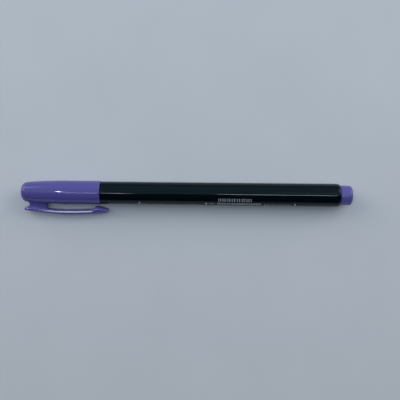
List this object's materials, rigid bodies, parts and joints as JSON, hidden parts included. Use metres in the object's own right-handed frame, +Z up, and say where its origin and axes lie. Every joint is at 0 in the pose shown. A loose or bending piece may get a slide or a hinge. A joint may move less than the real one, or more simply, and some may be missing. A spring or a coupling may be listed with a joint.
{
  "type": "fabric marking pen",
  "caption": "Slim capped fabric marking pen with a flexible brush nib, a black barrel, a coloured clip cap and a matching end plug, lying on its side.",
  "frame": {"origin": "on the surface that the pen lies on, under the centre of its bounding box", "axes": "+X along the pen from the cap's closed end towards the end plug, +Z up, the clip on the -Y side"},
  "size_m": [0.1424, 0.0144, 0.0101],
  "materials": {
    "cap_plastic": "polished injection-moulded purple plastic",
    "plug_plastic": "satin injection-moulded purple plastic",
    "barrel_plastic": "glossy extruded black plastic",
    "liner_plastic": "natural moulded plastic",
    "nib_elastomer": "ink-stained soft elastomer",
    "ink_fibre": "ink-soaked bonded fibre",
    "print_ink": "opaque white printed ink on the barrel",
    "wrap_film": "thin clear wrapping film"
  },
  "bodies": {
    "pen": {"barrel": "barrel_plastic", "front_section": "barrel_plastic", "nib_holder": "liner_plastic", "nib_root": "nib_elastomer", "feed_wick": "ink_fibre", "reservoir_core": "ink_fibre", "reservoir_film": "wrap_film", "tail_plug": "plug_plastic"},
    "liner": {"inner_cap": "liner_plastic"},
    "cap": {"cap_shell": "cap_plastic"},
    "clip": {"clip_arm": "cap_plastic"},
    "nib": {"brush_tip": "nib_elastomer"}
  },
  "joints": [
    {"name": "cap_pull", "type": "slide", "parent": "pen", "child": "liner", "axis": [-1, 0, 0], "range_m": [0, 0.036]},
    {"name": "cap_twist", "type": "hinge", "parent": "liner", "child": "cap", "pos_m": [-0.05, 0.00211, 0.00505], "axis": [-1, 0, 0], "continuous": true},
    {"name": "clip_flex", "type": "hinge", "parent": "cap", "child": "clip", "pos_m": [-0.06055, -0.00544, 0.00212], "axis": [0, 0.3619, -0.9322], "range_deg": [0, 4], "stiffness_Nm_per_rad": 0.3},
    {"name": "nib_flex", "type": "hinge", "parent": "pen", "child": "nib", "pos_m": [-0.055, 0.00211, 0.00505], "axis": [0, 1, 0], "range_deg": [-12, 12], "stiffness_Nm_per_rad": 0.0075}
  ]
}
